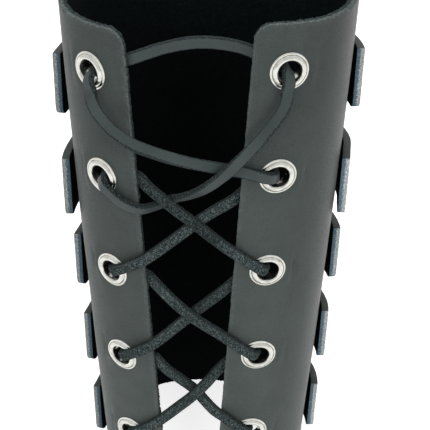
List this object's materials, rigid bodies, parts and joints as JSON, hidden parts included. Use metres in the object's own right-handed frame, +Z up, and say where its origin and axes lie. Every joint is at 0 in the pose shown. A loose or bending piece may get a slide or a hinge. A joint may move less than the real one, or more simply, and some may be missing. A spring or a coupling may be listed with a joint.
{
  "type": "leather gauntlet",
  "caption": "Laced leather forearm gauntlet: a wrapped sheet with a front gap, metal eyelets, a flat lace and riveted plates across the back.",
  "frame": {"origin": "centre of the bounding box's base, on the surface that the wrist end stands on", "axes": "+Z up from the wrist end to the elbow end, -Y towards the laced front, +Y towards the plates on the back of the arm"},
  "size_m": [0.1136, 0.1129, 0.2133],
  "materials": {
    "sheet_leather": "smooth black leather with a satin grain side and a napped flesh side",
    "plate_leather": "smooth black leather with raw cut edges",
    "lace_leather": "black leather lace, grain on one face and nap on the other",
    "eyelet_nickel": "bright nickel plate",
    "rivet_metal": "dark nickel plate"
  },
  "bodies": {
    "wrap": {"leather_wrap": "sheet_leather", "left_eyelet_1": "eyelet_nickel", "left_eyelet_2": "eyelet_nickel", "left_eyelet_3": "eyelet_nickel", "left_eyelet_4": "eyelet_nickel", "left_eyelet_5": "eyelet_nickel", "right_eyelet_1": "eyelet_nickel", "right_eyelet_2": "eyelet_nickel", "right_eyelet_3": "eyelet_nickel", "right_eyelet_4": "eyelet_nickel", "right_eyelet_5": "eyelet_nickel", "left_washer_1": "eyelet_nickel", "left_washer_2": "eyelet_nickel", "left_washer_3": "eyelet_nickel", "left_washer_4": "eyelet_nickel", "left_washer_5": "eyelet_nickel", "right_washer_1": "eyelet_nickel", "right_washer_2": "eyelet_nickel", "right_washer_3": "eyelet_nickel", "right_washer_4": "eyelet_nickel", "right_washer_5": "eyelet_nickel", "plate_1_rivets": "rivet_metal", "plate_2_rivets": "rivet_metal", "plate_3_rivets": "rivet_metal", "plate_4_rivets": "rivet_metal", "plate_5_rivets": "rivet_metal", "plate_1_rivet_caps": "rivet_metal", "plate_2_rivet_caps": "rivet_metal", "plate_3_rivet_caps": "rivet_metal", "plate_4_rivet_caps": "rivet_metal", "plate_5_rivet_caps": "rivet_metal", "lace": "lace_leather"},
    "plate_1_body": {"plate_1": "plate_leather"},
    "plate_2_body": {"plate_2": "plate_leather"},
    "plate_3_body": {"plate_3": "plate_leather"},
    "plate_4_body": {"plate_4": "plate_leather"},
    "plate_5_body": {"plate_5": "plate_leather"}
  },
  "joints": [
    {"name": "plate_1_tilt", "type": "hinge", "parent": "wrap", "child": "plate_1_body", "pos_m": [0, 0.01577, 0.178], "axis": [0.9774, 0.2112, 0], "range_deg": [0, 3]},
    {"name": "plate_2_tilt", "type": "hinge", "parent": "wrap", "child": "plate_2_body", "pos_m": [0, 0.01548, 0.1385], "axis": [0.9771, 0.2129, 0], "range_deg": [0, 3]},
    {"name": "plate_3_tilt", "type": "hinge", "parent": "wrap", "child": "plate_3_body", "pos_m": [0, 0.01515, 0.099], "axis": [0.9766, 0.2149, 0], "range_deg": [0, 3]},
    {"name": "plate_4_tilt", "type": "hinge", "parent": "wrap", "child": "plate_4_body", "pos_m": [0, 0.01479, 0.0595], "axis": [0.9761, 0.2174, 0], "range_deg": [0, 3]},
    {"name": "plate_5_tilt", "type": "hinge", "parent": "wrap", "child": "plate_5_body", "pos_m": [0, 0.01439, 0.02], "axis": [0.9754, 0.2203, 0], "range_deg": [0, 3]}
  ]
}
